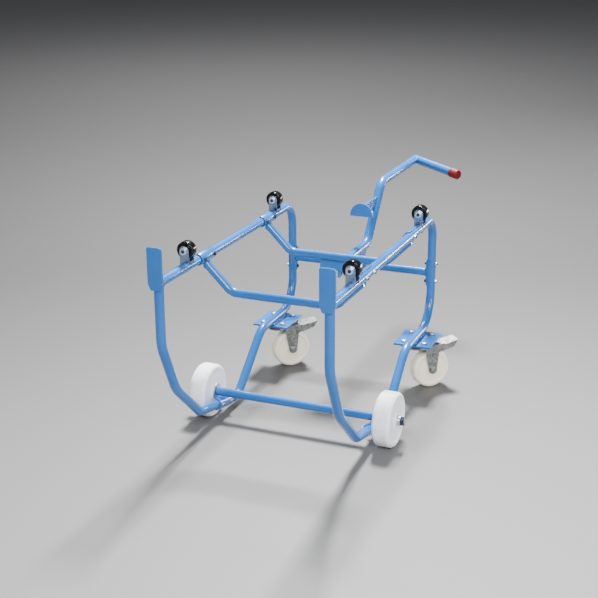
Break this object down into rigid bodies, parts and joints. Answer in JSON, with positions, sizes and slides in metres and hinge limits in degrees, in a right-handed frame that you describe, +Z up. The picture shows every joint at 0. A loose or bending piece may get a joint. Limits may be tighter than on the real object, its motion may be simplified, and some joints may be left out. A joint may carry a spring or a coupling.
{
  "type": "drum dolly",
  "caption": "Tipping drum dolly: bent tube side frames with roller cradle, fixed front wheels, braked swivel casters and a lift-off rim lever",
  "frame": {"origin": "centre of the footprint of the bounding box, on the floor; the side frames are symmetric about x = 0", "axes": "+Y points to the rear, where the lever is, -Y to the tipping blades, +X to the right side frame, +Z up"},
  "size_m": [0.6833, 1.551, 0.632],
  "materials": {
    "frame_paint": "gloss blue powder coat",
    "lever_paint": "gloss blue powder coat",
    "dark_bolts": "dark oiled steel",
    "zinc_fasteners": "zinc plated",
    "roller_fork_steel": "bright zinc plated",
    "roller_black": "gloss black",
    "front_wheel_nylon": "white nylon, satin",
    "caster_wheel_nylon": "cream nylon, satin",
    "caster_steel": "galvanised",
    "seal_red": "dark red",
    "cap_red": "red vinyl"
  },
  "bodies": {
    "frame": {"front_leg_left": "frame_paint", "front_leg_right": "frame_paint", "rocker_tube_left": "frame_paint", "rocker_tube_right": "frame_paint", "rear_leg_left": "frame_paint", "rear_leg_right": "frame_paint", "drum_rail_left": "frame_paint", "drum_rail_right": "frame_paint", "tipping_blade_left": "frame_paint", "tipping_blade_right": "frame_paint", "caster_mount_left": "frame_paint", "caster_mount_right": "frame_paint", "axle_bar": "frame_paint", "front_crossbar": "frame_paint", "rear_crossbar": "frame_paint", "rear_brace": "frame_paint", "rail_saddles": "frame_paint", "post_saddles": "frame_paint", "axle_saddles": "frame_paint", "saddle_bolts": "dark_bolts", "saddle_nuts": "zinc_fasteners", "roller_bolts": "zinc_fasteners", "roller_nuts": "zinc_fasteners", "front_axle": "zinc_fasteners", "axle_washers": "zinc_fasteners", "axle_nuts": "zinc_fasteners", "mount_bolts": "zinc_fasteners", "mount_nuts": "zinc_fasteners", "roller_fork_front_left": "roller_fork_steel", "roller_fork_front_right": "roller_fork_steel", "roller_fork_rear_left": "roller_fork_steel", "roller_fork_rear_right": "roller_fork_steel", "caster_plate_left": "caster_steel", "caster_plate_right": "caster_steel"},
    "front_wheel_left_body": {"front_wheel_left": "front_wheel_nylon", "hub_sleeve_left": "zinc_fasteners"},
    "front_wheel_right_body": {"front_wheel_right": "front_wheel_nylon", "hub_sleeve_right": "zinc_fasteners"},
    "drum_roller_front_left_body": {"drum_roller_front_left": "roller_black"},
    "drum_roller_front_right_body": {"drum_roller_front_right": "roller_black"},
    "drum_roller_rear_left_body": {"drum_roller_rear_left": "roller_black"},
    "drum_roller_rear_right_body": {"drum_roller_rear_right": "roller_black"},
    "caster_swivel_left": {"caster_fork_left": "caster_steel", "swivel_seal_left": "seal_red", "caster_bolt_left": "zinc_fasteners"},
    "caster_wheel_left_body": {"caster_wheel_left": "caster_wheel_nylon", "caster_sleeve_left": "zinc_fasteners"},
    "brake_pedal_left_body": {"brake_pedal_left": "caster_steel"},
    "caster_swivel_right": {"caster_fork_right": "caster_steel", "swivel_seal_right": "seal_red", "caster_bolt_right": "zinc_fasteners"},
    "caster_wheel_right_body": {"caster_wheel_right": "caster_wheel_nylon", "caster_sleeve_right": "zinc_fasteners"},
    "brake_pedal_right_body": {"brake_pedal_right": "caster_steel"},
    "lever": {"lever_tube": "lever_paint", "lever_handle": "lever_paint", "lever_claw": "lever_paint", "lever_hook": "lever_paint", "lever_foot": "lever_paint", "lever_cap": "cap_red"}
  },
  "joints": [
    {"name": "front_wheel_left_spin", "type": "hinge", "parent": "frame", "child": "front_wheel_left_body", "pos_m": [-0.286, -0.40404, 0.08], "axis": [1, 0, 0], "continuous": true},
    {"name": "front_wheel_right_spin", "type": "hinge", "parent": "frame", "child": "front_wheel_right_body", "pos_m": [0.286, -0.40404, 0.08], "axis": [1, 0, 0], "continuous": true},
    {"name": "drum_roller_front_left_spin", "type": "hinge", "parent": "frame", "child": "drum_roller_front_left_body", "pos_m": [-0.24, -0.59304, 0.577], "axis": [0, 1, 0], "continuous": true},
    {"name": "drum_roller_front_right_spin", "type": "hinge", "parent": "frame", "child": "drum_roller_front_right_body", "pos_m": [0.24, -0.59304, 0.577], "axis": [0, 1, 0], "continuous": true},
    {"name": "drum_roller_rear_left_spin", "type": "hinge", "parent": "frame", "child": "drum_roller_rear_left_body", "pos_m": [-0.24, 0.01096, 0.577], "axis": [0, 1, 0], "continuous": true},
    {"name": "drum_roller_rear_right_spin", "type": "hinge", "parent": "frame", "child": "drum_roller_rear_right_body", "pos_m": [0.24, 0.01096, 0.577], "axis": [0, 1, 0], "continuous": true},
    {"name": "caster_swivel_left_turn", "type": "hinge", "parent": "frame", "child": "caster_swivel_left", "pos_m": [-0.24, 0.02796, 0.14], "axis": [0, 0, 1], "continuous": true},
    {"name": "caster_wheel_left_spin", "type": "hinge", "parent": "caster_swivel_left", "child": "caster_wheel_left_body", "pos_m": [-0.20835, 0.05853, 0.0625], "axis": [-0.6947, 0.7193, 0], "continuous": true},
    {"name": "brake_pedal_left_press", "type": "hinge", "parent": "caster_swivel_left", "child": "brake_pedal_left_body", "pos_m": [-0.18821, 0.07798, 0.132], "axis": [-0.6947, 0.7193, 0], "range_deg": [0, 12]},
    {"name": "caster_swivel_right_turn", "type": "hinge", "parent": "frame", "child": "caster_swivel_right", "pos_m": [0.24, 0.02796, 0.14], "axis": [0, 0, 1], "continuous": true},
    {"name": "caster_wheel_right_spin", "type": "hinge", "parent": "caster_swivel_right", "child": "caster_wheel_right_body", "pos_m": [0.27165, 0.05853, 0.0625], "axis": [-0.6947, 0.7193, 0], "continuous": true},
    {"name": "brake_pedal_right_press", "type": "hinge", "parent": "caster_swivel_right", "child": "brake_pedal_right_body", "pos_m": [0.29179, 0.07798, 0.132], "axis": [-0.6947, 0.7193, 0], "range_deg": [0, 12]},
    {"name": "lever_lift", "type": "hinge", "parent": "frame", "child": "lever", "pos_m": [0, 0.15596, 0.346], "axis": [1, 0, 0], "range_deg": [0, 25]}
  ]
}
